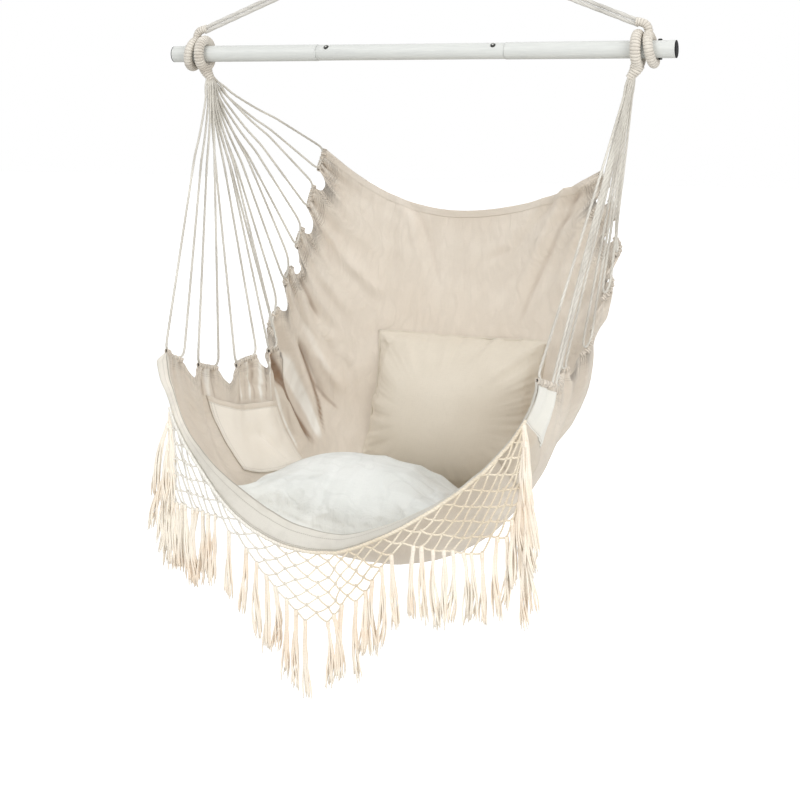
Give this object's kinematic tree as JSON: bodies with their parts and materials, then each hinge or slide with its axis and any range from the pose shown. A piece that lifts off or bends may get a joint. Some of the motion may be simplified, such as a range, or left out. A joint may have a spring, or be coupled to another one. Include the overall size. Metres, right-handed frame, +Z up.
{
  "type": "hammock chair",
  "caption": "Hanging cloth chair on a take-apart spreader bar, held by gathered cords, with loose cushions, an arm pocket and a knotted fringe along the front.",
  "frame": {"origin": "throat of the hanging loop, where a hook bears", "axes": "+Z up along the hanging line, +X along the spreader bar towards the sitter's left hand, -Y towards the open front"},
  "size_m": [1, 0.6104, 1.4272],
  "materials": {
    "rope": "matte",
    "tube": "satin",
    "black_plastic": "matte",
    "spring": "satin",
    "canvas": "matte",
    "tape": "matte",
    "net": "matte",
    "cushion_white": "matte",
    "cushion_beige": "matte"
  },
  "bodies": {
    "hanger": {"hanging_loop": "rope", "loop_whipping": "rope"},
    "suspension": {"suspension_eye_left": "rope", "suspension_rope_left_upper": "rope", "suspension_rope_left_lower": "rope", "suspension_eye_right": "rope", "suspension_rope_right_upper": "rope", "suspension_rope_right_lower": "rope"},
    "bar": {"bar_tube_left": "tube", "bar_tube_middle": "tube", "bar_tube_right": "tube", "end_cap_left": "black_plastic", "end_cap_right": "black_plastic", "stop_pin_left": "black_plastic", "stop_pin_right": "black_plastic", "spring_base_left": "spring", "spring_base_right": "spring"},
    "button_left": {"spring_leaf_left": "spring", "snap_button_left": "black_plastic"},
    "button_right": {"spring_leaf_right": "spring", "snap_button_right": "black_plastic"},
    "seat": {"seat_eye_left": "rope", "seat_eye_right": "rope", "seat_cord_left_1": "rope", "seat_cord_left_2": "rope", "seat_cord_left_3": "rope", "seat_cord_left_4": "rope", "seat_cord_left_5": "rope", "seat_cord_left_6": "rope", "seat_cord_left_7": "rope", "seat_cord_left_8": "rope", "seat_cord_left_9": "rope", "seat_cord_right_1": "rope", "seat_cord_right_2": "rope", "seat_cord_right_3": "rope", "seat_cord_right_4": "rope", "seat_cord_right_5": "rope", "seat_cord_right_6": "rope", "seat_cord_right_7": "rope", "seat_cord_right_8": "rope", "seat_cord_right_9": "rope", "sling": "canvas", "arm_pocket": "canvas", "arm_tape": "tape", "fringe_net": "net"},
    "seat_cushion": {"seat_cushion": "cushion_white"},
    "back_cushion": {"back_cushion": "cushion_beige"}
  },
  "joints": [
    {"name": "chair_swing", "type": "hinge", "parent": "hanger", "child": "suspension", "pos_m": [0, 0, -0.10005], "axis": [1, 0, 0], "range_deg": [-20, 20]},
    {"name": "bar_roll", "type": "hinge", "parent": "suspension", "child": "bar", "pos_m": [0, 0, -0.33805], "axis": [1, 0, 0], "continuous": true},
    {"name": "button_left_press", "type": "hinge", "parent": "bar", "child": "button_left", "pos_m": [-0.211, -0.00267, -0.33564], "axis": [0, 0.6691, 0.7431], "range_deg": [0, 4.8], "stiffness_Nm_per_rad": 1.8, "springref_deg": -2.01},
    {"name": "button_right_press", "type": "hinge", "parent": "bar", "child": "button_right", "pos_m": [0.211, -0.00267, -0.33564], "axis": [0, 0.6691, 0.7431], "range_deg": [-4.8, 0], "stiffness_Nm_per_rad": 1.8, "springref_deg": 2.01},
    {"name": "seat_swing", "type": "hinge", "parent": "suspension", "child": "seat", "pos_m": [0, 0, -0.33805], "axis": [1, 0, 0], "range_deg": [-15, 15]},
    {"name": "seat_cushion_lift", "type": "slide", "parent": "seat", "child": "seat_cushion", "axis": [0, 0, 1], "range_m": [0, 0.3]},
    {"name": "back_cushion_lift", "type": "slide", "parent": "seat", "child": "back_cushion", "axis": [0, 0, 1], "range_m": [0, 0.3]}
  ]
}
